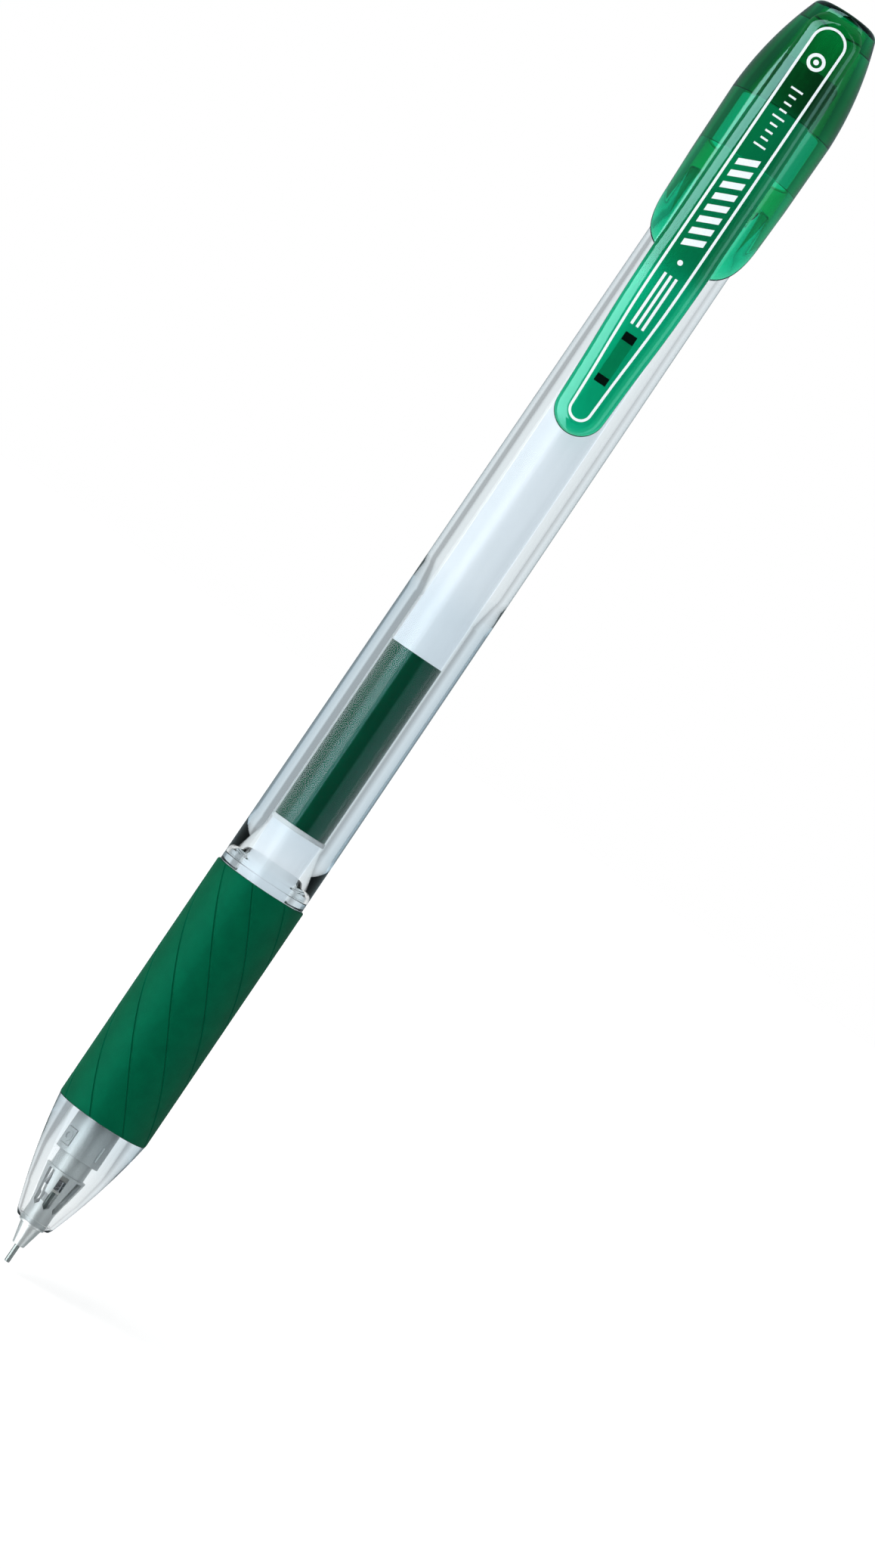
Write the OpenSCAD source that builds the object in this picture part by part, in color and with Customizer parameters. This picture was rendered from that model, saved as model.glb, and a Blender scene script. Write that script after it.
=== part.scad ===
// Push-button lead holder for 0.5 mm leads.
// +Z runs up the barrel's axis from the writing point at the origin to the crown, and the clip faces -Y.
// Everything near the crown is placed from the overall length, and everything near the nose from the origin.

/* [Overall] */
// Length from the writing point to the top of the crown
length = 146; // [138:1:160]
// Radius of the lead in use and of the spare leads
lead_r = 0.28; // [0.18:0.01:0.28]
// How far the crown travels when it is pressed
stroke = 2.8; // [2:0.1:2.8]

/* [Grip] */
// Outer radius of the rubber grip
grip_r = 5; // [4.9:0.1:5.6]
// Height of the grip's lower edge
grip_z = 16.8; // [16:0.1:18]
// Length of the grip
grip_len = 27.6; // [24:0.1:28]
// Thickness of the rubber
grip_wall = 1.05; // [0.8:0.05:1.1]

/* [Barrel] */
// Outer radius at the lower end of the rear barrel
barrel_r = 4.78; // [4.7:0.01:4.85]
// Outer radius at the upper end of the rear barrel
barrel_top_r = 4.55; // [4.4:0.01:4.6]
// Radius of the narrow front bore
front_bore_r = 3.1; // [3.08:0.01:3.2]
// Radius of the wide rear bore
rear_bore_r = 3.75; // [3.4:0.01:3.8]

/* [Mechanism] */
// Outer radius of the lead tube
tube_r = 2.8; // [2.7:0.01:2.85]
// Bore radius of the lead tube
tube_bore_r = 2.2; // [2:0.01:2.25]
// Number of full turns in the spring
spring_turns = 9; // [6:1:11]
// Radius of the spring's wire
wire_r = 0.16; // [0.1:0.01:0.18]
// How many spare leads the tube holds
spare_count = 3; // [1:1:4]

/* [Clip] */
// Width of the clip where it leaves the crown
clip_w = 6.3; // [5.6:0.1:6.6]
// Thickness of the clip's arm
clip_t = 1.25; // [1.1:0.05:1.45]
// Distance from the barrel's axis to the clip's front face
clip_reach = 6.9; // [6.9:0.05:7.3]

/* [Hidden] */
$fn = 96;
eps = 0.01;
run = 0.05;                       // radial clearance of sliding fits

grip_top = grip_z + grip_len;     // upper edge of the rubber
core_r = grip_r - grip_wall;      // outer radius of the barrel under the rubber
flange_t = 0.9;                   // clear ring between the rubber and the rear barrel
joint_z = grip_top + flange_t;    // face where the front and rear barrels meet
spigot_h = 2;                     // part of the front barrel that enters the rear barrel
socket_r = 4.47;                  // the rear barrel's bore round that spigot
nose_z = 4.6;                     // front face of the clear nose
nose_r = 1.98;                    // radius of that face
nose_top_r = grip_r - 0.04;
sleeve_r = 1.4;                   // silver sleeve where it leaves the nose
chamber_z = 6.3;                  // slotted chamber round the chuck
chamber_top = 10.7;
chamber_r = 1.1;                  // the chamber's bore below the step that stops the chuck ring
chamber_step = 7.75;
fin_r = 2.2;                      // the slotted chamber's wide end
sleeve_mid_r = 1.85;
sleeve_back_r = 2.38;
sleeve_end = 33;                  // upper end of the silver sleeve
lead_len = 60;

head_z = 8.45;                    // front face of the chuck's jaws
head_r = 0.92;
stem_r = 0.6;
ring_r = 1.28;
ring_z = 8.75;                    // lower face of the ring that closes the jaws
ring_h = 1.1;
spring_z = 13.2;                  // lower end of the spring
holder_z = 24.5;                  // face of the chuck holder that the spring pushes on
holder_step = 36.2;
tube_z = 43;                      // lower end of the lead tube

barrel_top = length - 20.4;       // upper end of the rear barrel
tube_top = length - 15.8;         // upper end of the lead tube
seat_z = length - 17.4;           // step inside the crown, and the lower face of the eraser holder
seat_top = length - 11.6;         // second step inside the crown
eraser_r = 3.3;
shelf_z = length - 2.6;           // shelf where the crown's hollow narrows
ceiling_z = length - 0.7;         // ceiling of the crown's hollow
tongue_z = length - 29.75;        // lowest point of the crown's front tongue
hinge_z = length - 29.7;          // where the clip's arm starts to bend
widest_z = length - 11.6;         // widest point of the crown
crown_r = 5.61;
skirt_r = 5.36;
skirt_bore_r = 4.72;
seat_bore_r = 4.45;
clip_tip_z = length - 48.8;
clip_top_z = length - 1.6;

// Points from p to q on a shallow arch that stands off the chord by bulge, to the left of the way it runs.
function arch(p, q, bulge, n = 12) = [for (i = [0:n])
    let (t = i / n, d = q - p) p + t * d + 4 * bulge * t * (1 - t) * [-d[1], d[0]] / norm(d)];

// Points on a circle about c, from angle a to angle b.
function sweep_arc(c, r, a, b, n = 8) = [for (i = [0:n])
    let (t = a + (b - a) * i / n) c + r * [cos(t), sin(t)]];

// A hollow turned part: outer and inner are lists of [radius, height], both from the bottom up.
module turned(outer, inner) {
    count = len(inner);
    rotate_extrude() polygon(concat(outer, [for (i = [count - 1:-1:0]) inner[i]]));
}

module tube(r, bore, z0, z1) turned([[r, z0], [r, z1]], [[bore, z0], [bore, z1]]);

module in_plan(y0, y1) translate([0, y1, 0]) rotate([90, 0, 0]) linear_extrude(y1 - y0) children();

module in_side(x0, x1) translate([x0, 0, 0]) rotate([90, 0, 90]) linear_extrude(x1 - x0) children();

// Clear front barrel: nose, core under the rubber, flange and the spigot that enters the rear barrel.
module front_barrel() {
    spigot_r = socket_r - run;
    rib_count = 6;
    rib_w = 0.5;
    rib_z0 = 12.8;
    rib_z1 = 31;
    color("white", 0.35) union() {
        turned(
            concat([[nose_r - 0.15, nose_z], [nose_r, nose_z + 0.25]],
                   arch([nose_r + 0.08, nose_z + 0.4], [nose_top_r, grip_z], -0.28),
                   [[core_r, grip_z], [core_r, grip_top], [barrel_r, grip_top], [barrel_r, joint_z],
                    [spigot_r, joint_z], [spigot_r, joint_z + 0.6], [spigot_r - 0.22, joint_z + 0.8],
                    [3.4, joint_z + spigot_h]]),
            [[sleeve_r + run, nose_z], [sleeve_r + run, nose_z + 0.6], [1.72, nose_z + 0.6],
             [2.62, 8.35], [2.82, 8.6], [3.3, 12], [3.3, grip_z], [front_bore_r, grip_z + 1],
             [front_bore_r, joint_z + spigot_h]]);
        for (i = [0:rib_count - 1]) rotate([0, 0, i * 360 / rib_count])
            translate([sleeve_back_r + run, -rib_w / 2, rib_z0])
                cube([front_bore_r + 0.15 - sleeve_back_r - run, rib_w, rib_z1 - rib_z0]);
    }
}

// Rubber grip.
module grip() {
    edge = 0.25;
    color([0, 0.34, 0.23]) turned(
        [[grip_r - edge, grip_z + eps], [grip_r, grip_z + edge], [grip_r, grip_top - edge],
         [grip_r - edge, grip_top - eps]],
        [[core_r, grip_z + eps], [core_r, grip_top - eps]]);
}

// Clear rear barrel with its flared socket, narrow front bore and wide rear bore.
module rear_barrel() {
    flare_z = joint_z + 0.9;
    flare_top = joint_z + 3.2;
    step_z = 76.6;
    edge = 0.2;
    color("white", 0.35) turned(
        [[barrel_r, joint_z], [barrel_top_r, barrel_top - edge], [barrel_top_r - edge, barrel_top]],
        concat([[socket_r, joint_z]],
               arch([socket_r, flare_z], [front_bore_r, flare_top], 0.2, 6),
               [[front_bore_r, step_z], [rear_bore_r, step_z + 3.4], [rear_bore_r, barrel_top]]));
}

// Silver sleeve: writing tip, slotted chuck chamber and spring housing in one moulding.
module tip_sleeve() {
    slot_count = 8;
    slot_turn = 7.5;
    window = [0.6, 1, 0.9];
    plate_z = chamber_top - 0.25;
    color([0.55, 0.62, 0.64]) union() {
        difference() {
            turned(
                [[0.65, 2], [1.18, 4.3], [sleeve_r, 4.3], [sleeve_r, chamber_z], [fin_r, chamber_top],
                 [sleeve_mid_r, chamber_top], [sleeve_mid_r, 12.6], [sleeve_back_r, 12.6],
                 [sleeve_back_r, sleeve_end]],
                [[lead_r + 0.02, 2], [lead_r + 0.02, 4.4], [0.87, 4.4], [0.87, 5.5], [chamber_r, 5.5],
                 [chamber_r, chamber_step], [chamber_r + 0.25, chamber_step], [1.8, plate_z],
                 [1.07, plate_z], [1.07, spring_z], [1.95, spring_z], [1.95, sleeve_end]]);
            for (i = [0:slot_count - 1])
                rotate([0, 0, slot_turn + i * 360 / slot_count]) chamber_slot(plate_z - 0.04);
            translate([-0.15 - window[0], -fin_r, chamber_z + window[2]]) cube(window);
        }
        sleeve_marks();
    }
}

// One slot of the chuck chamber, pointed at its lower end.
module chamber_slot(top) {
    w = 0.78;
    in_plan(-3, -0.5) polygon([[-w / 2, chamber_z + 0.55], [0, chamber_z + 0.15],
                               [w / 2, chamber_z + 0.55], [w / 2, top], [-w / 2, top]]);
}

// A locking lug on one side of the sleeve's front, and a pad with a moulded ring on the other.
module sleeve_marks() {
    ring_a = -47;
    lug_a = 52;
    mark_z = 14.1;
    lug = [0.8, 0.6, 1.7];
    pad = [1.5, 0.3, 1.7];
    boss_r = 0.6;
    boss_h = 0.46;
    dimple_r = 0.32;
    rotate([0, 0, lug_a]) translate([-lug[0] / 2, -sleeve_back_r - 0.15, mark_z - 0.8]) cube(lug);
    rotate([0, 0, ring_a]) difference() {
        union() {
            translate([-pad[0] / 2, -sleeve_back_r, mark_z - pad[2] / 2]) cube(pad);
            translate([0, 0.4 - sleeve_back_r, mark_z]) rotate([90, 0, 0]) cylinder(r = boss_r, h = boss_h);
        }
        translate([0, 0.1 - sleeve_back_r, mark_z]) rotate([90, 0, 0]) cylinder(r = dimple_r, h = 1);
    }
}

// Rubber ring that keeps the lead from sliding back.
module lead_retainer()
    color("dimgray") tube(0.86, lead_r + 0.01, 4.42, 5.4);

// White resin chuck: three jaws in front of a stem.
module chuck() {
    jaw_count = 3;
    slit = 0.12;
    color("ivory") difference() {
        turned(
            [[head_r, head_z], [head_r, head_z + 0.5], [stem_r + 0.1, head_z + 2.5],
             [stem_r, head_z + 2.6], [stem_r, holder_z + 3.5]],
            [[lead_r + 0.02, head_z], [lead_r + 0.02, holder_z + 3.5]]);
        for (i = [0:jaw_count - 1]) rotate([0, 0, 90 + i * 360 / jaw_count])
            translate([0, -slit / 2, head_z - eps]) cube([head_r + 0.1, slit, 6]);
    }
}

// Steel ring that closes the jaws.
module chuck_ring()
    color("silver") tube(ring_r, head_r + 0.02, ring_z, ring_z + ring_h);

// Compression spring round the chuck's stem, its turns worked out along the helix.
module spring() {
    sides = 8;
    per_turn = 24;
    coil_r = 1.5;
    rings = spring_turns * per_turn;
    rise = holder_z - spring_z - 2 * wire_r - 2 * eps;
    points = [for (i = [0:rings]) for (j = [0:sides - 1])
        let (a = 360 * i / per_turn, b = 360 * j / sides, r = coil_r + wire_r * cos(b))
        [r * cos(a), r * sin(a), spring_z + eps + wire_r + rise * i / rings + wire_r * sin(b)]];
    walls = [for (i = [0:rings - 1]) for (j = [0:sides - 1])
        let (k = (j + 1) % sides)
        [i * sides + j, (i + 1) * sides + j, (i + 1) * sides + k, i * sides + k]];
    lower_end = [for (j = [0:sides - 1]) j];
    upper_end = [for (j = [sides - 1:-1:0]) rings * sides + j];
    color("silver") polyhedron(points, concat(walls, [lower_end, upper_end]), convexity = 10);
}

// Holder that joins the chuck's stem to the lead tube, with a funnel for the next lead.
module chuck_holder()
    color("whitesmoke") turned(
        [[1.85, holder_z], [1.85, holder_step], [tube_r, holder_step + 0.9], [tube_r, tube_z],
         [tube_bore_r - 0.02, tube_z], [tube_bore_r - 0.02, tube_z + 6]],
        [[stem_r + 0.02, holder_z], [stem_r + 0.02, holder_z + 3.6], [lead_r + 0.1, holder_z + 3.6],
         [lead_r + 0.1, tube_z - 2], [tube_bore_r - 0.3, tube_z + 6]]);

// Frosted tube that carries the spare leads up to the eraser.
module lead_tube()
    color("white", 0.8) tube(tube_r, tube_bore_r, tube_z, tube_top);

// White ring that the coloured sleeve sits on.
module tube_collar()
    color("white") tube(front_bore_r - 0.08, tube_r, 50.75, 51.2);

// Coloured sleeve on the lead tube.
module colour_sleeve()
    color([0, 0.28, 0.2]) tube(tube_r + 0.09, tube_r, 51.2, 71.5);

// Lead in use, worn to a blunt cone at its point.
module lead()
    color([0.2, 0.2, 0.22]) rotate_extrude()
        polygon([[0, 0], [lead_r * 0.6, 0], [lead_r, 0.35], [lead_r, lead_len], [0, lead_len]]);

// Spare leads standing round the one in use.
module spare_leads() {
    ring_r = 1.25;
    color([0.2, 0.2, 0.22]) for (i = [0:spare_count - 1]) rotate([0, 0, 40 + i * 360 / spare_count])
        translate([ring_r, 0, tube_z + 7]) cylinder(r = lead_r, h = lead_len);
}

// Ring on the top of the lead tube that grips the eraser and carries the crown.
module eraser_holder() {
    edge = 0.3;
    r = seat_bore_r - 0.07;
    color([0.75, 0.85, 0.8]) turned(
        [[r - edge, seat_z + 0.1], [r, seat_z + 0.1 + edge], [r, seat_top - 0.1 - edge],
         [r - edge, seat_top - 0.1]],
        [[tube_r, seat_z + 0.1], [tube_r, tube_top], [eraser_r + run, tube_top],
         [eraser_r + run, seat_top - 0.1]]);
}

// White eraser that plugs the top of the lead tube.
module eraser() {
    edge = 0.4;
    top = length - 6.7;
    color("white") rotate_extrude()
        polygon(concat([[0, tube_top + 0.1], [eraser_r, tube_top + 0.1]],
                       sweep_arc([eraser_r - edge, top - edge], edge, 0, 90), [[0, top]]));
}

// Outline of the whole clip as seen from the front.
module clip_plan() {
    top_r = clip_w / 2 - 0.25;
    tip_r = clip_w / 2 - 0.55;
    half = concat([for (p = sweep_arc([0, clip_tip_z + tip_r], tip_r, -90, 0)) p],
                  [[clip_w / 2 - 0.39, clip_tip_z + 7.1], [clip_w / 2 - 0.1, clip_tip_z + 13.2],
                   [clip_w / 2 + 0.05, hinge_z + 0.3], [clip_w / 2 - 0.04, hinge_z + 1.7],
                   [clip_w / 2 - 0.04, length - 17]],
                  [for (p = sweep_arc([0, clip_top_z - top_r], top_r, 0, 90)) p]);
    polygon(concat(half, [for (i = [len(half) - 2:-1:1]) [-half[i][0], half[i][1]]]));
}

// The two long bevels of the clip's front face where it stands proud of the crown.
module clip_bevels() {
    flat_w = 4;
    bevel_a = 24;
    for (s = [-1, 1]) translate([s * flat_w / 2, -clip_reach, clip_tip_z - 1])
        rotate([0, 0, s * bevel_a]) translate([-3, -3, 0]) cube([6, 3, length - clip_tip_z + 2]);
}

// Arm of the clip below the crown, bevelled all round, with the rib that presses on the barrel.
module clip_arm() {
    back = clip_t - clip_reach;
    color([0, 0.6, 0.35]) union() {
        intersection() {
            hull() {
                in_plan(0.5 - clip_reach, back) clip_plan();
                in_plan(-clip_reach, 0.5 - clip_reach) offset(delta = -1.1) clip_plan();
            }
            in_side(-5, 5) polygon(concat(
                [[back, hinge_z], [back, clip_tip_z + 4.5]],
                arch([back, clip_tip_z + 4.5], [back - 0.5, clip_tip_z], 0.1, 6),
                [[-clip_reach - 1, clip_tip_z], [-clip_reach - 1, hinge_z]]));
        }
        clip_rib(back);
    }
}

module clip_rib(back) {
    rib_w = 1.3;
    rib_foot = -4.72;
    rib_z0 = clip_tip_z + 5.6;
    rib_len = 5.8;
    in_side(-rib_w / 2, rib_w / 2) polygon([
        [back - 0.1, rib_z0], [rib_foot, rib_z0 + 1], [rib_foot, rib_z0 + rib_len - 1],
        [back - 0.1, rib_z0 + rib_len]]);
}

// Crown with its skirt and the clip's root, moulded in one.
module crown() {
    corner = 1;
    lean = 20;
    corner_c = [2.62, length - corner];
    join = corner_c + corner * [cos(lean), sin(lean)];
    outer = concat([[0, tongue_z - 1], [skirt_r, tongue_z - 1]],
                   arch([crown_r, widest_z], join, -0.45),
                   sweep_arc(corner_c, corner, lean, 90, 5), [[0, length]]);
    color([0, 0.45, 0.3], 0.8) difference() {
        union() {
            rotate_extrude() polygon(outer);
            clip_root();
        }
        crown_hollow();
        in_side(-9, 9) skirt_edge();
    }
}

// Part of the clip that stands proud of the crown.
module clip_root() {
    face_bend = length - 13;
    difference() {
        intersection() {
            in_plan(-clip_reach, -2) clip_plan();
            in_side(-5, 5) polygon(concat(
                [[-2, hinge_z], [-clip_reach, hinge_z]],
                arch([-clip_reach, face_bend], [-4.75, clip_top_z + 0.3], -0.35),
                [[-2, clip_top_z + 0.3]]));
        }
        clip_bevels();
    }
}

module crown_hollow() rotate_extrude() polygon([
    [0, tongue_z - 2], [skirt_bore_r, tongue_z - 2], [skirt_bore_r, seat_z], [seat_bore_r, seat_z],
    [seat_bore_r, seat_top], [4.25, seat_top], [3.15, shelf_z], [2.7, shelf_z], [2.5, ceiling_z],
    [0, ceiling_z]]);

// What is cut away under the skirt: a long tongue at the clip, a rise at each side, a short tongue behind.
module skirt_edge() {
    front = [-5.6, tongue_z];
    rise = [1, tongue_z + 8.95];
    crest = [2.8, tongue_z + 8.75];
    rear = [6, tongue_z + 5.2];
    polygon(concat([[-9, tongue_z - 3], [-9, tongue_z]], arch(front, rise, -1.05),
                   arch(rise, crest, 0.5, 6), arch(crest, rear, 0.3, 6), [[9, tongue_z + 2], [9, tongue_z - 3]]));
}

front_barrel();
grip();
rear_barrel();
tip_sleeve();
lead_retainer();
chuck();
chuck_ring();
spring();
chuck_holder();
lead_tube();
tube_collar();
colour_sleeve();
lead();
spare_leads();
eraser_holder();
eraser();
crown();
clip_arm();
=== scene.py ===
"""Looks of a push-button lead holder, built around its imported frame.

Sizes are in millimetres in the frame's own axes: +Z runs up the barrel from the writing point, and
the clip faces -Y.
"""
import math

import bmesh
import bpy
from mathutils import Matrix, Vector


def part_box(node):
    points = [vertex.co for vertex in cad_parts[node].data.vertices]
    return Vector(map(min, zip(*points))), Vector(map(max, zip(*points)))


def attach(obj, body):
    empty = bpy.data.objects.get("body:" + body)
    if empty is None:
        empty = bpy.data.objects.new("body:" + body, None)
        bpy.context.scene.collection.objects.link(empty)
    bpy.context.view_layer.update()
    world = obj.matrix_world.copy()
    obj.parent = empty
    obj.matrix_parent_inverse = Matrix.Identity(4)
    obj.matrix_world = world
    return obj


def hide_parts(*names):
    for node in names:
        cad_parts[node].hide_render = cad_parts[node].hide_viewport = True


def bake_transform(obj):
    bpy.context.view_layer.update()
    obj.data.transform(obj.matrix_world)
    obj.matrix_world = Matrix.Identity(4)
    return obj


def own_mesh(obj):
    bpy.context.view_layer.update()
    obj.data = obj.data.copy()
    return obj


MM = 0.001
TURN = 2 * math.pi
ON_AXIS = 1e-6                      # a point of an outline closer than this to the axis is on it
SHARP = math.radians(32)            # an edge stays sharp where its faces meet at more than this

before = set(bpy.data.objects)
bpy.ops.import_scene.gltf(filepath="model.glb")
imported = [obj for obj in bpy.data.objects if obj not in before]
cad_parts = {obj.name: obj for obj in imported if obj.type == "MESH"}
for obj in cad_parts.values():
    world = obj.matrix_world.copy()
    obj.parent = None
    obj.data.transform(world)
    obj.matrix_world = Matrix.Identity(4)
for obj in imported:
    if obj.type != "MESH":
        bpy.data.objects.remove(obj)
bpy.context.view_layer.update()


# ---------------------------------------------------------------- sizes from the frame

def span(node):
    """A turned node's outer radius, lower end and upper end, in mm."""
    low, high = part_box(node)
    return high.x / MM, low.z / MM, high.z / MM


GRIP_R, GRIP_LOW, GRIP_TOP = span("grip")
BARREL_R, JOINT_Z, BARREL_TOP = span("rear_barrel")
NOSE_LOW = span("front_barrel")[1]
TUBE_R, TUBE_LOW, TUBE_TOP = span("lead_tube")
CROWN_LOW, CROWN_TOP = span("crown")[1:]
CLIP_TIP, HINGE_Z = span("clip_arm")[1:]
CLIP_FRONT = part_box("clip_arm")[0].y / MM
SKIN = 0.01                         # gap left between touching pieces, so that their surfaces never coincide


# ---------------------------------------------------------------- outlines

def bend(a, corner, b, steps):
    """Points of a short curve that leaves a towards corner and arrives at b."""
    return [tuple((1 - t) ** 2 * p + 2 * t * (1 - t) * c + t * t * q for p, c, q in zip(a, corner, b))
            for t in (k / steps for k in range(steps + 1))]


def soften(corners, radius=0.06, steps=4, support=0.05, closed=True):
    """An outline whose corners are rounded.

    A corner is (r, z) or (r, z, its own radius), and a radius of 0 keeps it as it is.
    Long straight sides get a support point near each end, so that smooth shading stays flat along them.
    """
    out = []
    count = len(corners)
    for i, (x, y, *own) in enumerate(corners):
        here = Vector((x, y))
        before, after = Vector(corners[i - 1][:2]), Vector(corners[(i + 1) % count][:2])
        end = not closed and i in (0, count - 1)
        shorter = min((before - here).length, (after - here).length)
        reach = 0 if end else min(own[0] if own else radius, 0.45 * shorter)
        if reach <= 0:
            out.append((x, y))
            continue
        into, away = (before - here).normalized(), (after - here).normalized()
        curve = bend(here + into * reach, here, here + away * reach, steps)
        if (before - here).length > 2 * (reach + support) + 0.1:
            curve.insert(0, tuple(here + into * (reach + support)))
        if (after - here).length > 2 * (reach + support) + 0.1:
            curve.append(tuple(here + away * (reach + support)))
        out += curve
    return out


def arch(p, q, bulge, steps=24):
    """Points from p to q on a shallow arch, which stands off the chord by bulge to the left of its run."""
    dx, dy = q[0] - p[0], q[1] - p[1]
    size = math.hypot(dx, dy)
    return [(p[0] + t * dx - 4 * bulge * t * (1 - t) * dy / size,
             p[1] + t * dy + 4 * bulge * t * (1 - t) * dx / size, 0)
            for t in (k / steps for k in range(steps + 1))]


def arc(cx, cy, radius, start, end, steps=10):
    """Points on a circle from one angle to another, in degrees."""
    return [(cx + radius * math.cos(math.radians(a)), cy + radius * math.sin(math.radians(a)), 0)
            for a in (start + (end - start) * k / steps for k in range(steps + 1))]


def around(count):
    """Evenly spaced angles for a full turn."""
    return [TURN * k / count for k in range(count)]


def quarter(steps):
    """Evenly spaced angles from nothing to a right angle."""
    return [math.pi / 2 * k / steps for k in range(steps + 1)]


def rectangle(left, low, right, high):
    """Corners of an upright rectangle."""
    return [(left, low), (right, low), (right, high), (left, high)]


# ---------------------------------------------------------------- meshes

def shade(bm):
    """Turns normals outwards and shades smoothly, with sharp edges where faces meet at an angle."""
    bmesh.ops.recalc_face_normals(bm, faces=bm.faces)
    for edge in bm.edges:
        edge.smooth = len(edge.link_faces) != 2 or edge.calc_face_angle(0) < SHARP
    for face in bm.faces:
        face.smooth = True


def piece_from(bm, name):
    """A shaded object from a bmesh in mm."""
    shade(bm)
    bmesh.ops.scale(bm, vec=(MM, MM, MM), verts=bm.verts)
    mesh = bpy.data.meshes.new(name)
    bm.to_mesh(mesh)
    bm.free()
    piece = bpy.data.objects.new(name, mesh)
    bpy.context.scene.collection.objects.link(piece)
    return piece


def skin(bm, rings, join_ends=False):
    """Quads between closed rings of points that run alongside each other; a single point makes a fan."""
    made = [[bm.verts.new(p) for p in ring] for ring in rings]
    pairs = list(zip(made, made[1:])) + ([(made[-1], made[0])] if join_ends else [])
    for a, b in pairs:
        if len(a) == 1 and len(b) == 1:
            continue
        count = max(len(a), len(b))
        for k in range(count):
            n = (k + 1) % count
            bm.faces.new((a if len(a) == 1 else [a[k], a[n]]) + (b if len(b) == 1 else [b[n], b[k]]))
    return made


def turned(name, outline, angles=None, place=None):
    """A solid of revolution from an outline of (radius, height), closed or from the axis back to the axis.

    place(radius, height, angle) may move a point off the plain revolved surface.
    """
    angles = angles or around(192)
    place = place or (lambda r, z, a: (r * math.cos(a), r * math.sin(a), z))
    rings = [[(0, 0, z)] if r < ON_AXIS else [place(r, z, a) for a in angles] for r, z, *_ in outline]
    bm = bmesh.new()
    skin(bm, rings, join_ends=len(rings[0]) > 1)
    return piece_from(bm, name)


def block(name, points, low, high, axis="Y"):
    """A prism of a flat outline between two places on an axis."""
    bm = bmesh.new()
    turn = {"Y": lambda u, v, w: (u, w, v), "X": lambda u, v, w: (w, u, v)}[axis]
    ends = [[bm.verts.new(turn(u, v, w)) for u, v in points] for w in (low, high)]
    for end in ends:
        bm.faces.new(end)
    for k in range(len(points)):
        n = (k + 1) % len(points)
        bm.faces.new([ends[0][k], ends[0][n], ends[1][n], ends[1][k]])
    return piece_from(bm, name)


def swung(part, angle):
    """Turns a part round the barrel's axis."""
    part.data.transform(Matrix.Rotation(angle, 4, "Z"))
    return part


def combine(piece, other, operation):
    """Joins other to piece, or cuts it away, and removes it."""
    modifier = piece.modifiers.new("combine", "BOOLEAN")
    modifier.operation = operation
    modifier.solver = "EXACT"
    modifier.object = other
    bpy.context.view_layer.update()
    graph = bpy.context.evaluated_depsgraph_get()
    mesh = bpy.data.meshes.new_from_object(piece.evaluated_get(graph), depsgraph=graph)
    piece.modifiers.clear()
    piece.data = mesh
    bpy.data.objects.remove(other)
    return piece


def reshade(piece):
    """Cleans and shades a piece again after cutting, and weighs normals by face size."""
    smallest = 1e-7
    bm = bmesh.new()
    bm.from_mesh(piece.data)
    bmesh.ops.remove_doubles(bm, verts=bm.verts, dist=smallest)
    bmesh.ops.dissolve_degenerate(bm, edges=bm.edges, dist=smallest)
    shade(bm)
    bm.to_mesh(piece.data)
    bm.free()
    weigh = piece.modifiers.new("weigh", "WEIGHTED_NORMAL")
    weigh.keep_sharp = True
    weigh.mode = "FACE_AREA_WITH_ANGLE"
    return piece


# ---------------------------------------------------------------- materials

def linear(*levels):
    """Display levels from 0 to 255 as a linear colour."""
    return tuple(((c / 255 + 0.055) / 1.055) ** 2.4 if c > 10 else c / 255 / 12.92 for c in levels) + (1.0,)


USUAL = (0.35, 0.65)                # most of a noise pattern's values lie in here
COLOUR_A, COLOUR_B, COLOUR_OUT = 6, 7, 2    # the Mix node's sockets for colours


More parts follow.
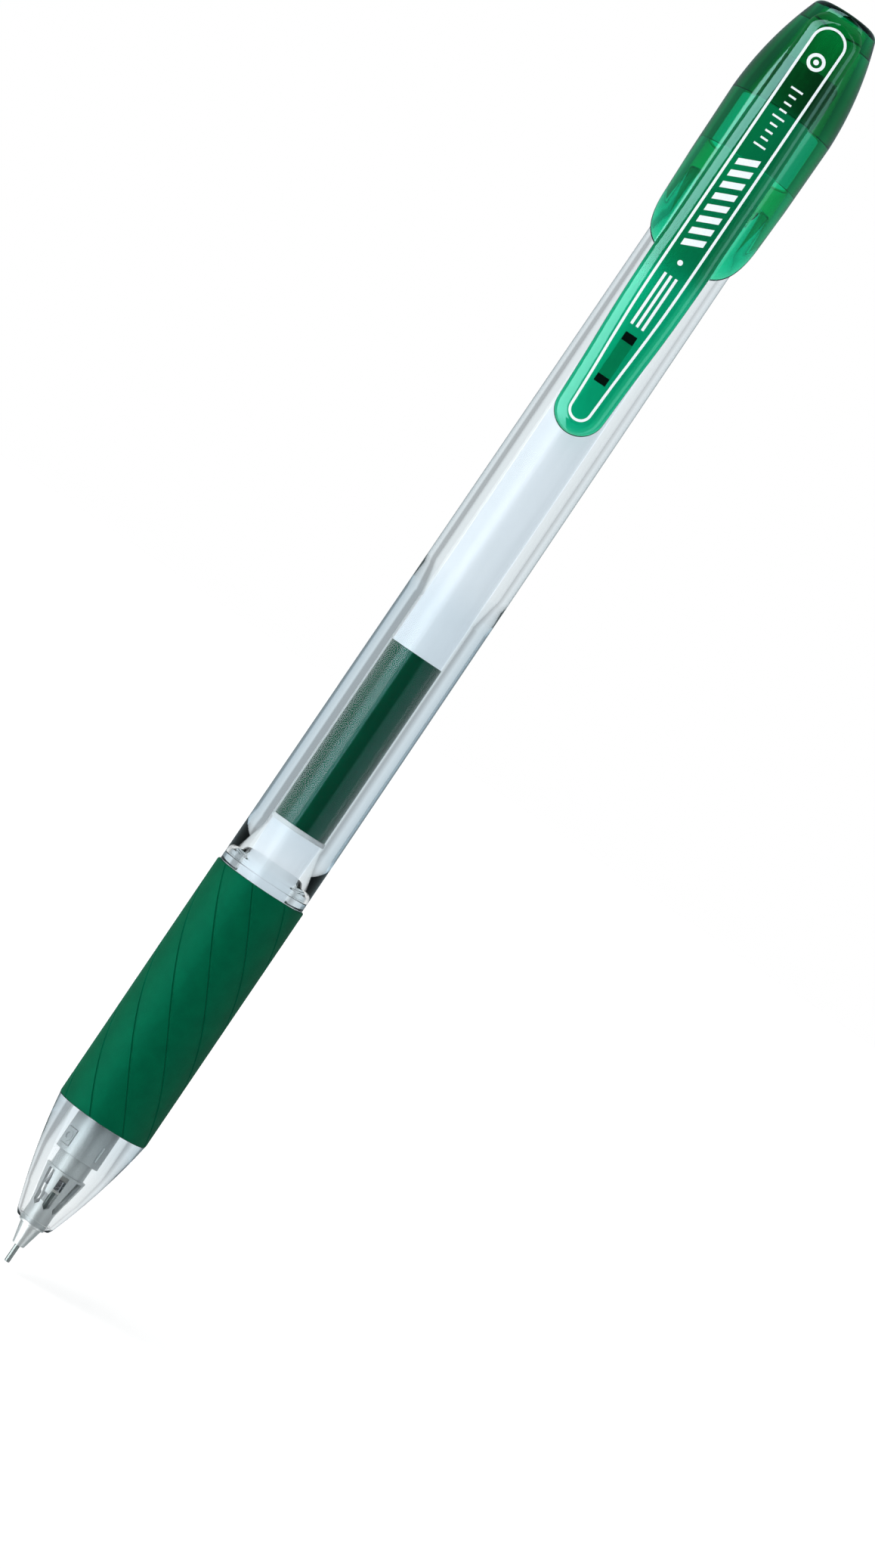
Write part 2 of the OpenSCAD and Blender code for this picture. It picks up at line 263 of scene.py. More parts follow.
class Finish:
    """A material with its main shader, and short ways to add pattern nodes sized in millimetres."""

    def __init__(self, name, **sockets):
        self.material = bpy.data.materials.new(name)
        self.material.use_nodes = True
        self.nodes = self.material.node_tree.nodes
        self.links = self.material.node_tree.links
        self.shader = self.nodes["Principled BSDF"]
        for socket, value in sockets.items():
            self.shader.inputs[socket.replace("_", " ")].default_value = value
        self.where = self.nodes.new("ShaderNodeTexCoord").outputs["Object"]

    def noise(self, size, detail=3.0, stretch=(1, 1, 1)):
        """Noise whose features are about size mm, longer along an axis by its stretch."""
        scaled = self.nodes.new("ShaderNodeMapping")
        scaled.inputs["Scale"].default_value = [1 / (size * MM * s) for s in stretch]
        self.links.new(self.where, scaled.inputs["Vector"])
        pattern = self.nodes.new("ShaderNodeTexNoise")
        pattern.inputs["Scale"].default_value = 1.0
        pattern.inputs["Detail"].default_value = detail
        pattern.inputs["Roughness"].default_value = 0.55
        self.links.new(scaled.outputs["Vector"], pattern.inputs["Vector"])
        return pattern.outputs["Fac"]

    def cells(self, size):
        """Small cells of about size mm, each with its own random value."""
        pattern = self.nodes.new("ShaderNodeTexVoronoi")
        pattern.inputs["Scale"].default_value = 1 / (size * MM)
        self.links.new(self.where, pattern.inputs["Vector"])
        return pattern.outputs["Color"]

    def between(self, factor, low, high, source=USUAL):
        """A value that runs from low to high as factor crosses the source range."""
        ranged = self.nodes.new("ShaderNodeMapRange")
        ranged.inputs["From Min"].default_value = source[0]
        ranged.inputs["From Max"].default_value = source[1]
        ranged.inputs["To Min"].default_value = low
        ranged.inputs["To Max"].default_value = high
        self.links.new(factor, ranged.inputs["Value"])
        return ranged.outputs["Result"]

    def blend(self, factor, first, second):
        """A colour between two, by factor from 0 to 1."""
        mixer = self.nodes.new("ShaderNodeMix")
        mixer.data_type = "RGBA"
        self.links.new(factor, mixer.inputs["Factor"])
        mixer.inputs[COLOUR_A].default_value = first
        mixer.inputs[COLOUR_B].default_value = second
        return mixer.outputs[COLOUR_OUT]

    def drive(self, socket, source):
        """Feeds a socket of the main shader."""
        self.links.new(source, self.shader.inputs[socket])

    def tint(self, pattern, dark, light, source=USUAL):
        """A base colour that follows a pattern."""
        self.drive("Base Color", self.blend(self.between(pattern, 0, 1, source), dark, light))

    def roughen(self, pattern, low, high, source=USUAL):
        """A roughness that follows a pattern."""
        self.drive("Roughness", self.between(pattern, low, high, source))

    def bump(self, *layers):
        """Stacks height patterns, each given as (source, height in mm)."""
        normal = None
        for source, height in layers:
            raised = self.nodes.new("ShaderNodeBump")
            raised.inputs["Distance"].default_value = height * MM
            self.links.new(source, raised.inputs["Height"])
            if normal:
                self.links.new(normal, raised.inputs["Normal"])
            normal = raised.outputs["Normal"]
        self.drive("Normal", normal)
        return self

    def lets_light_in(self, tint):
        """Lamps reach what is inside the plastic: their rays pass it with only a tint."""
        output = self.nodes["Material Output"]
        clear = self.nodes.new("ShaderNodeBsdfTransparent")
        clear.inputs["Color"].default_value = tint
        chooser = self.nodes.new("ShaderNodeMixShader")
        path = self.nodes.new("ShaderNodeLightPath")
        self.links.new(path.outputs["Is Shadow Ray"], chooser.inputs["Fac"])
        self.links.new(self.shader.outputs["BSDF"], chooser.inputs[1])
        self.links.new(clear.outputs["BSDF"], chooser.inputs[2])
        self.links.new(chooser.outputs["Shader"], output.inputs["Surface"])
        return self

    def absorbs(self, colour, density):
        """Takes colour out of the light along its way through the solid, density per metre."""
        volume = self.nodes.new("ShaderNodeVolumeAbsorption")
        volume.inputs["Color"].default_value = colour
        volume.inputs["Density"].default_value = density
        self.links.new(volume.outputs["Volume"], self.nodes["Material Output"].inputs["Volume"])

    def on(self, piece, slot=None):
        """Puts this finish on a piece, in place of what it had."""
        piece.data.materials.clear()
        piece.data.materials.append(self.material)
        return piece


def clear_plastic():
    """Polished clear moulding: faint drag lines along the barrel, and blue-grey where it is thick."""
    finish = Finish("clear_plastic", Base_Color=(0.98, 0.99, 0.99, 1), Transmission_Weight=1.0, IOR=1.45,
                    Specular_Tint=(0.22, 0.24, 0.26, 1))
    drag = finish.noise(0.45, detail=1, stretch=(1, 1, 60))
    haze = finish.noise(3.0, detail=1, stretch=(1, 1, 3))
    finish.roughen(haze, 0.0, 0.01)
    finish.bump((drag, 0.0003), (haze, 0.001))
    finish.absorbs((0.35, 0.55, 0.66, 1), 150)
    return finish.lets_light_in((0.98, 0.98, 0.98, 1))


def green_plastic():
    """Translucent green moulding, darker where the light has a longer way through it."""
    finish = Finish("translucent_green", Base_Color=(0.3, 0.88, 0.5, 1), Transmission_Weight=1.0, IOR=1.49,
                    Specular_Tint=(0.45, 1.0, 0.97, 1))
    drag = finish.noise(0.6, detail=1, stretch=(1, 1, 25))
    haze = finish.noise(2.2, detail=1)
    finish.roughen(haze, 0.01, 0.05)
    finish.bump((drag, 0.0008), (haze, 0.003))
    finish.absorbs((0.0, 0.9, 0.86, 1), 5000)
    return finish.lets_light_in((0.9, 0.97, 0.95, 1))


def grip_rubber():
    """Matte rubber with a fine grain and a little dust in it."""
    finish = Finish("grip_rubber", IOR=1.5, Specular_IOR_Level=0.2, Specular_Tint=(0.05, 1.0, 0.8, 1))
    mottle = finish.noise(1.6, detail=4)
    grain = finish.noise(0.09, detail=2)
    finish.tint(mottle, linear(0, 73, 47), linear(0, 79, 51))
    finish.roughen(grain, 0.55, 0.7)
    return finish.bump((grain, 0.012), (mottle, 0.01))


def silver_moulding():
    """Plastic filled with metal flake: grey and softly bright, with a fine sparkle."""
    finish = Finish("silver_moulding", Metallic=0.5, IOR=1.5)
    flake = finish.cells(0.05)
    cloud = finish.noise(0.7)
    finish.tint(flake, linear(172, 179, 180), linear(196, 202, 203), source=(0.1, 0.9))
    finish.roughen(flake, 0.32, 0.48, source=(0, 1))
    return finish.bump((flake, 0.0015), (cloud, 0.003))


def sleeve_plastic():
    """Glossy dark green moulding with faint flow lines."""
    finish = Finish("dark_green_plastic", IOR=1.5, Specular_Tint=(0.4, 1.0, 0.95, 1))
    flow = finish.noise(0.9, stretch=(1, 1, 14))
    peel = finish.noise(0.5)
    finish.tint(flow, linear(0, 63, 41), linear(0, 68, 45))
    finish.roughen(peel, 0.06, 0.09)
    return finish.bump((peel, 0.0004))


def frosted_plastic():
    """Milky tube with a painted glow: its emission is painted light that stands in for the light reaching it
    from behind.
    """
    finish = Finish("frosted_plastic", IOR=1.5, Emission_Color=linear(222, 232, 240), Emission_Strength=0.65)
    flow = finish.noise(1.2, stretch=(1, 1, 18))
    peel = finish.noise(0.8, detail=1, stretch=(1, 1, 4))
    finish.tint(flow, linear(158, 162, 165), linear(165, 168, 171))
    finish.roughen(peel, 0.14, 0.22)
    return finish.bump((peel, 0.002))


def white_plastic():
    """Plain white moulding, slightly uneven."""
    finish = Finish("white_plastic", IOR=1.5)
    cloud = finish.noise(0.8)
    finish.tint(cloud, linear(228, 230, 230), linear(240, 241, 240))
    finish.roughen(cloud, 0.3, 0.42)
    return finish.bump((cloud, 0.004))


def chuck_resin():
    """Smooth off-white engineering resin."""
    finish = Finish("chuck_resin", IOR=1.5)
    cloud = finish.noise(0.4)
    finish.tint(cloud, linear(226, 228, 224), linear(240, 241, 237))
    finish.roughen(cloud, 0.25, 0.4)
    return finish.bump((cloud, 0.003))


def eraser_vinyl():
    """Soft white vinyl, slightly uneven."""
    finish = Finish("eraser_vinyl", IOR=1.45)
    grain = finish.noise(0.18)
    cloud = finish.noise(1.5)
    finish.tint(cloud, linear(232, 232, 228), linear(244, 244, 241))
    finish.roughen(grain, 0.6, 0.8)
    return finish.bump((grain, 0.01))


def graphite():
    """Lead with a dull metallic sheen and fine lengthwise streaks."""
    finish = Finish("graphite", Metallic=0.55, IOR=1.6)
    streak = finish.noise(0.06, stretch=(1, 1, 18))
    finish.tint(streak, linear(96, 106, 106), linear(134, 144, 143))
    finish.roughen(streak, 0.3, 0.5)
    return finish.bump((streak, 0.003))


def dark_rubber():
    """Dark fine-grained rubber of the lead retainer."""
    finish = Finish("dark_rubber", IOR=1.5)
    grain = finish.noise(0.08)
    finish.tint(grain, linear(38, 38, 40), linear(56, 56, 58))
    finish.roughen(grain, 0.55, 0.75)
    return finish.bump((grain, 0.006))


def spring_steel():
    """Bright steel with fine draw marks around it."""
    finish = Finish("spring_steel", Metallic=1.0)
    marks = finish.noise(0.05, stretch=(8, 8, 1))
    finish.tint(marks, linear(170, 172, 176), linear(206, 208, 212))
    finish.roughen(marks, 0.16, 0.3)
    return finish.bump((marks, 0.0015))


def print_ink():
    """White printed ink, thin enough to show a little of its grain."""
    finish = Finish("print_ink", IOR=1.5)
    grain = finish.noise(0.07)
    finish.tint(grain, linear(226, 238, 244), linear(246, 252, 255))
    finish.roughen(grain, 0.35, 0.5)
    return finish.bump((grain, 0.002))


CLEAR = clear_plastic()
GREEN = green_plastic()
RUBBER = grip_rubber()
SILVER = silver_moulding()
SLEEVE = sleeve_plastic()
FROSTED = frosted_plastic()
WHITE = white_plastic()
VINYL = eraser_vinyl()
GRAPHITE = graphite()
SEAL = dark_rubber()
RESIN = chuck_resin()
STEEL = spring_steel()
INK = print_ink()


# ---------------------------------------------------------------- front barrel and grip

NOSE_R = 1.98                       # radius of the clear nose at its front face
CORE_R = 3.95                       # radius of the clear core that the rubber sits on
FRONT_BORE_R = 3.1                  # narrow bore of both barrels, round the lead tube
SOCKET_R = 4.47                     # the rear barrel's bore round the front barrel's spigot


def front_barrel():
    """Clear nose, the core under the rubber, the flange and the spigot that enters the rear barrel."""
    top_r, core_r, spigot_r = GRIP_R - 0.04, CORE_R - SKIN, SOCKET_R - 0.05
    shoulder_z, flange_z, joint_z = GRIP_LOW - SKIN, GRIP_TOP + SKIN, JOINT_Z - SKIN
    spigot_top, seat_z = JOINT_Z + 2.0, NOSE_LOW + 0.6
    hollow_r, hole_r = 3.3, 1.45
    outer = ([(NOSE_R - 0.15, NOSE_LOW), (NOSE_R, NOSE_LOW + 0.25, 0)]
             + arch((NOSE_R + 0.08, NOSE_LOW + 0.4), (top_r, shoulder_z), -0.28)[:-1]
             + [(top_r, shoulder_z, 0.03), (core_r, shoulder_z, 0), (core_r, flange_z, 0),
                (BARREL_R, flange_z, 0.08), (BARREL_R, joint_z, 0.05), (spigot_r, joint_z, 0),
                (spigot_r, JOINT_Z + 0.6, 0.04), (spigot_r - 0.22, JOINT_Z + 0.8), (3.4, spigot_top)])
    inner = [(FRONT_BORE_R, spigot_top), (FRONT_BORE_R, GRIP_LOW + 1, 0), (hollow_r, GRIP_LOW, 0),
             (hollow_r, 12, 1), (2.82, 9.3, 0.2), (2.62, 8.2, 0.2), (1.72, seat_z, 0), (hole_r, seat_z),
             (hole_r, NOSE_LOW)]
    piece = turned("clear_front_barrel", soften(outer + inner))
    ribs, rib_half, rib_r, rib_low, rib_top = 6, 0.25, 2.43, 20, 31
    rib = rectangle(rib_r, rib_low, FRONT_BORE_R + 0.1, rib_top)
    for i in range(ribs):
        combine(piece, swung(block(f"rib_{i}", rib, -rib_half, rib_half), TURN * i / ribs), "UNION")
    return reshade(piece)


def groove_angles(count, width, per_gap):
    """Angles round the grip that crowd together at each groove; width is half a groove, as an angle."""
    edge = [-1.0, -0.7, -0.4, -0.15, 0.15, 0.4, 0.7, 1.0]
    pitch = TURN / count
    gap = [width + (pitch - 2 * width) * k / per_gap for k in range(1, per_gap)]
    return [i * pitch + a for i in range(count) for a in [e * width for e in edge] + gap]


def rubber_grip():
    """Rubber sleeve with fine slanting grooves cut round it."""
    count, slant, width, depth, first = 8, math.radians(29), 0.13, 0.11, -0.2
    rim, steps = 0.35, 48
    twist = math.tan(slant) / GRIP_R
    half = width / GRIP_R
    pitch = TURN / count

    def place(r, z, a):
        off = (a + pitch / 2) % pitch - pitch / 2
        cut = depth * max(0.0, 1 - (off / half) ** 2) if r > (GRIP_R + CORE_R) / 2 else 0.0
        turned_by = a + first - twist * (z - GRIP_LOW)
        return ((r - cut) * math.cos(turned_by), (r - cut) * math.sin(turned_by), z)

    heights = [GRIP_LOW + rim + (GRIP_TOP - GRIP_LOW - 2 * rim) * k / steps for k in range(steps + 1)]
    outline = ([(CORE_R, GRIP_LOW, 0.02), (GRIP_R, GRIP_LOW, 0.22)] + [(GRIP_R, z, 0) for z in heights]
               + [(GRIP_R, GRIP_TOP, 0.22), (CORE_R, GRIP_TOP, 0.02)]
               + [(CORE_R, z, 0) for z in reversed(heights)])
    return turned("ribbed_grip", soften(outline), groove_angles(count, half, 12), place)


# ---------------------------------------------------------------- rear barrel

def rear_barrel():
    """Clear rear barrel: flared socket below, narrow bore, then the wide bore behind the step."""
    top_r, wide_bore_r, step_low, step_top = 4.55, 3.75, 76.6, 80
    outline = [(BARREL_R, JOINT_Z + SKIN), (top_r, BARREL_TOP, 0.12), (wide_bore_r, BARREL_TOP, 0.06),
               (wide_bore_r, step_top, 0.5), (FRONT_BORE_R, step_low, 0.05), (FRONT_BORE_R, JOINT_Z + 5.6, 0)]
    flare = arch((SOCKET_R, JOINT_Z + 1.0), (FRONT_BORE_R, JOINT_Z + 5), 0.12)
    return turned("clear_rear_barrel", soften(outline + flare[::-1] + [(SOCKET_R, JOINT_Z + SKIN, 0.03)]))


# ---------------------------------------------------------------- mechanism

CAGE_LOW, CAGE_TOP = 6.3, 10.7      # lower and upper end of the slotted chamber
NECK_TOP = 12.6
SLEEVE_R = 2.38
MARK_Z = 14.1                       # height of the moulded marks on the sleeve


def silver_sleeve():
    """Silver moulding: writing tip, slotted chamber round the chuck, neck and spring housing."""
    hole_r, front_r, fin_r, neck_r, chamber_r, stem_hole_r = 0.31, 1.4, 2.2, 1.85, 1.1, 1.07
    retainer_r, spring_r = 0.87, 1.95
    retainer_low, retainer_top, step_z, plate_z, spring_z = 4.4, 5.5, 7.75, CAGE_TOP - 0.25, 13.2
    end = span("tip_sleeve")[2]
    outer = [(hole_r, 2, 0.02), (0.65, 2, 0.05), (1.18, 4.3, 0.02), (front_r, 4.3, 0.08),
             (front_r, CAGE_LOW, 0.3), (fin_r, CAGE_TOP, 0.05), (neck_r, CAGE_TOP, 0.04),
             (neck_r, NECK_TOP, 0.04), (SLEEVE_R, NECK_TOP, 0.08), (SLEEVE_R, MARK_Z - 1, 0),
             (SLEEVE_R, MARK_Z + 1, 0), (SLEEVE_R, end, 0.05)]
    inner = [(spring_r, end, 0.03), (spring_r, spring_z, 0), (stem_hole_r, spring_z, 0),
             (stem_hole_r, plate_z, 0), (1.8, plate_z, 0.03), (chamber_r + 0.25, step_z, 0.02),
             (chamber_r, step_z, 0.02), (chamber_r, retainer_top, 0), (retainer_r, retainer_top, 0),
             (retainer_r, retainer_low, 0), (hole_r, retainer_low, 0)]
    piece = turned("silver_sleeve", soften(outer + inner))
    slots, half, first = 8, 0.39, math.radians(7.5)
    slot = [(-half, CAGE_LOW + 0.55), (0, CAGE_LOW + 0.15), (half, CAGE_LOW + 0.55), (half, plate_z),
            (-half, plate_z)]
    for i in range(slots):
        combine(piece, swung(block(f"slot_{i}", slot, -3, -0.5), first + TURN * i / slots), "DIFFERENCE")
    combine(piece, block("window", rectangle(-0.75, 7.2, -0.15, 8.1), -2.2, -1.35), "DIFFERENCE")
    return reshade(sleeve_marks(piece))


def sleeve_marks(piece):
    """Adds a pad with a moulded ring on one side of the sleeve's front, and a lug on the other."""
    lug_side, pad_side = math.radians(52), math.radians(-47)
    front = -SLEEVE_R

    def disc(name, radius, low, high):
        return block(name, [(radius * math.cos(a), MARK_Z + radius * math.sin(a)) for a in around(40)],
                     low, high)

    lug = block("lug", rectangle(-0.4, MARK_Z - 0.8, 0.4, MARK_Z + 0.9), front - 0.15, front + 0.45)
    pad = block("pad", rectangle(-0.75, MARK_Z - 0.85, 0.75, MARK_Z + 0.85), front, front + 0.3)
    combine(piece, swung(lug, lug_side), "UNION")
    combine(piece, swung(pad, pad_side), "UNION")
    combine(piece, swung(disc("boss", 0.6, front - 0.06, front + 0.4), pad_side), "UNION")
    return combine(piece, swung(disc("dimple", 0.32, front - 1, front + 0.1), pad_side), "DIFFERENCE")


def coil_spring():
    """Compression spring as a swept wire."""
    turns, wire, coil, per_turn, sides = 9, 0.16, 1.5, 48, 12
    low, high = span("spring")[1] + wire, span("spring")[2] - wire
    rings = []
    for i in range(turns * per_turn + 1):
        a = TURN * i / per_turn
        z = low + (high - low) * i / (turns * per_turn)
        section = [(coil + wire * math.cos(b), z + wire * math.sin(b)) for b in around(sides)]
        rings.append([(r * math.cos(a), r * math.sin(a), height) for r, height in section])
    bm = bmesh.new()
    made = skin(bm, rings)
    bm.faces.new(made[0])
    bm.faces.new(made[-1])
    return piece_from(bm, "coil_spring")


def chuck_holder():
    """Funnel between the chuck's stem and the lead tube."""
    low = span("chuck_holder")[1]
    stem_r, body_r, hole_r, plug_r = 0.62, 1.85, 0.38, 2.18
    stem_top, taper_low, taper_top = low + 3.6, 36.2, 37.1
    seat_z, plug_top, funnel_z = TUBE_LOW - SKIN, TUBE_LOW + 6, TUBE_LOW - 2
    outline = [(stem_r, low, 0.05), (body_r, low, 0.1), (body_r, taper_low, 0.1), (TUBE_R, taper_top, 0.1),
               (TUBE_R, seat_z, 0.05), (plug_r, seat_z, 0), (plug_r, plug_top, 0.05), (1.9, plug_top, 0.05),
               (hole_r, funnel_z, 0), (hole_r, stem_top, 0), (stem_r, stem_top, 0)]
    return turned("funnel_holder", soften(outline))


def lead_tube():
    """Long frosted tube that holds the spare leads."""
    bore_r = 2.2
    outline = [(bore_r, TUBE_LOW, 0.05), (TUBE_R, TUBE_LOW, 0.05), (TUBE_R, TUBE_TOP, 0.1),
               (bore_r, TUBE_TOP, 0.1)]
    return turned("frosted_tube", soften(outline))


def tube_collar():
    """White ring on the tube below the green sleeve."""
    r, low, high = span("tube_collar")
    bore_r, top = TUBE_R + SKIN, high - SKIN
    return turned("white_collar", soften([(bore_r, low, 0.02), (r, low, 0.08), (r, top, 0.08),
                                          (bore_r, top, 0.02)]))


def colour_sleeve():
    """Dark green sleeve on the tube."""
    r, low, high = span("colour_sleeve")
    bore_r = TUBE_R + SKIN
    return turned("green_sleeve", soften([(bore_r, low, 0), (r, low, 0.06), (r, high, 0.1),
                                          (bore_r, high, 0)]))


def working_lead():
    """Lead in use, a little worn at its point."""
    r, low, high = span("lead")
    outline = [(0, low), (r * 0.85, low, 0.03), (r, low + 0.12, 0.05), (r, high, 0.03), (0, high)]
    return turned("writing_lead", soften(outline, closed=False), around(48))


def eraser():
    """Round vinyl eraser."""
    r, low, high = span("eraser")
    outline = [(0, low), (r, low, 0.1), (r, high, 0.45), (0, high)]
    return turned("vinyl_eraser", soften(outline, steps=8, closed=False))


def eraser_holder():
    """Frosted cup on the tube's upper end that the eraser stands in."""
    r, low, high = span("eraser_holder")
    bore_r, cup_r, floor_z = TUBE_R + SKIN, 3.35, TUBE_TOP + SKIN
    return turned("eraser_ring", soften([(bore_r, low, 0), (r, low, 0.3), (r, high, 0.3), (cup_r, high, 0.1),
                                         (cup_r, floor_z, 0), (bore_r, floor_z, 0)]))


# ---------------------------------------------------------------- crown and clip

SKIRT_R, CROWN_R = 5.36, 5.6         # the crown's outside at its skirt and where it is widest
WIDEST_Z = CROWN_TOP - 11.6
CORNER = (2.62, CROWN_TOP - 1.0, 1.0)     # the crown's rounded corner: its centre (r, z) and its radius


def straight_through(x, table):
    """The value at x on straight lines between (x, value) rows."""
    for (x0, v0), (x1, v1) in zip(table, table[1:]):
        if x <= x1:
            return v0 + (v1 - v0) * max(0.0, min(1.0, (x - x0) / (x1 - x0)))
    return table[-1][1]


def smooth_through(x, table):
    """The value at x on a smooth curve through (x, value) rows."""
    i = max(0, min(len(table) - 2, sum(x > row[0] for row in table) - 1))
    (x0, v0), (x1, v1) = table[i], table[i + 1]
    before, after = table[max(0, i - 1)], table[min(len(table) - 1, i + 2)]
    m0 = (v1 - before[1]) / (x1 - before[0])
    m1 = (after[1] - v0) / (after[0] - x0)
    h = x1 - x0
    t = max(0.0, min(1.0, (x - x0) / h))
    return ((2 * t ** 3 - 3 * t ** 2 + 1) * v0 + (t ** 3 - 2 * t ** 2 + t) * h * m0
            + (3 * t ** 2 - 2 * t ** 3) * v1 + (t ** 3 - t ** 2) * h * m1)


def skirt_edge(y):
    """Height of the skirt's lower edge from front (-) to back (+): tongue, side rise, short tongue."""
    front, rise = (-5.6, CROWN_LOW), (1.0, CROWN_LOW + 8.95)
    crest, rear = (2.8, CROWN_LOW + 8.75), (6.0, CROWN_LOW + 5.2)
    arches = [(front, rise, -1.05), (rise, crest, 0.5), (crest, rear, 0.3)]
    (y0, z0), (y1, z1), bulge = next((piece for piece in arches if y <= piece[1][0]), arches[-1])
    t = max(0.0, min(1.0, (y - y0) / (y1 - y0)))
    lean = math.hypot(y1 - y0, z1 - z0) / (y1 - y0)
    return z0 + t * (z1 - z0) + 4 * bulge * lean * t * (1 - t)


def crown_shell():
    """Hollow crown whose skirt follows the edge curve and has a rounded rim."""
    low = CROWN_LOW - 1
    rim_z = low + 0.12
    drape_top = 127.0               # above this height the skirt no longer follows the edge curve
    corner_r, corner_z, bend_r = CORNER
    join_angle = 20
    turn = math.radians(join_angle)
    join = (corner_r + bend_r * math.cos(turn), corner_z + bend_r * math.sin(turn))
    steps = [low + 0.15 + (drape_top - low - 0.15) * k / 12 for k in range(1, 13)]
    slope = (CROWN_R - SKIRT_R) / (WIDEST_Z - low)
    seat_low, seat_top, shelf_z, ceiling_z = 128.6, 134.4, 143.4, 145.3
    seat_r, skirt_bore_r = 4.45, 4.72
    outer = ([(SKIRT_R - 0.22, rim_z, 0.1), (SKIRT_R, rim_z, 0.1)]
             + [(SKIRT_R + slope * (z - low), z, 0) for z in steps]
             + arch((CROWN_R, WIDEST_Z), join, -0.45)
             + arc(*CORNER, join_angle, 90)[1:] + [(0, CROWN_TOP)])
    inner = ([(0, ceiling_z), (2.5, ceiling_z, 0.3), (2.7, shelf_z, 0.05), (3.15, shelf_z, 0.12),
              (4.25, seat_top, 0.08), (seat_r, seat_top, 0.03), (seat_r, seat_low, 0.05),
              (skirt_bore_r, seat_low, 0.03)]
             + [(skirt_bore_r, z, 0) for z in reversed(steps) if z > low + 2])

    def place(r, z, a):
        x, y = r * math.cos(a), r * math.sin(a)
        if z < drape_top:
            edge = skirt_edge(y)
            z = edge + (z - low) * (drape_top - edge) / (drape_top - low)
        return x, y, z

    outline = soften(inner + outer)
    start = next(i for i, point in enumerate(outline) if point[0] < ON_AXIS)
    return turned("crown_and_clip", outline[start:] + outline[:start], around(256), place)


# Half the clip's width at heights from its tip to its top.
HALF_WIDTHS = [(CLIP_TIP + 2.6, 2.6), (104.3, 2.76), (110.4, 3.05), (116.6, 3.18), (119, 3.12), (129, 3.1),
               (141.5, 2.9)]


def clip_outline():
    """Right half of the clip's outline seen from the front, tip to top, with its outward normals."""
    tip_r, top_r, top = HALF_WIDTHS[0][1], HALF_WIDTHS[-1][1], CROWN_TOP - 0.35
    side_low, side_top = CLIP_TIP + tip_r, top - top_r
    spacing, round_steps = 0.35, 14
    points = [(tip_r * math.sin(a), side_low - tip_r * math.cos(a)) for a in quarter(round_steps)[:-1]]
    count = round((side_top - side_low) / spacing)
    points += [(smooth_through(z, HALF_WIDTHS), z) for z in
               (side_low + (side_top - side_low) * k / count for k in range(count))]
    points += [(top_r * math.cos(a), side_top + top_r * math.sin(a)) for a in quarter(round_steps)]
    normals = []
    for i in range(len(points)):
        (x0, z0), (x1, z1) = points[max(0, i - 1)], points[min(len(points) - 1, i + 1)]
        normals.append(Vector((z1 - z0, x0 - x1)).normalized())
    normals[0], normals[-1] = Vector((0, -1)), Vector((0, 1))
    return points, normals


PLATEAU = 1.15                      # how far the clip's flat front is inset from its outline
CHAMFER = 0.25                      # width of the steep edge round the outline
ARM = 1.25                          # thickness of the clip's arm
RIDGE = 0.09                        # height of the shallow ridge along the middle of the clip


def front_y(z):
    """Front face of the clip at its plateau: straight on the arm, then leaning back to the crown's top."""
    bend_z, top_z = CROWN_TOP - 13, CROWN_TOP - 1.3
    lean, bulge, curl, curl_length = 2.15, 0.35, 0.16, 3
    flat = CLIP_FRONT + 0.02 + RIDGE
    if z <= bend_z:
        return flat
    t = (z - bend_z) / (top_z - bend_z)
    return flat + lean * t - 4 * bulge * t * (1 - t) + curl * max(0.0, z - CROWN_TOP + curl_length) ** 2


def face_y(x, z):
    """The clip's flat front with its shallow ridge."""
    ridge_half = 1.9
    return front_y(z) - RIDGE * max(0.0, 1 - abs(x) / ridge_half)


def back_y(x, z):
    """Back face of the clip: flat on the arm, lifted at the tip, inside the crown's wall above the hinge."""
    lift_length, ramp_length, ramp_low = 4.5, 4.5, HINGE_Z - 2.4
    lift = max(0.0, 1 - (z - CLIP_TIP) / lift_length)
    flat = CLIP_FRONT + ARM - 0.5 * lift ** 1.6
    wall = straight_through(z, [(126, 4.71), (WIDEST_Z, 5.03), (139, 4.6), (143.4, 3.6), (146, 2.0)])
    deep = -math.sqrt(max(wall ** 2 - x * x, 0.01))
    t = max(0.0, min(1.0, (z - ramp_low) / ramp_length))
    return flat + (deep - flat) * t * t * (3 - 2 * t)


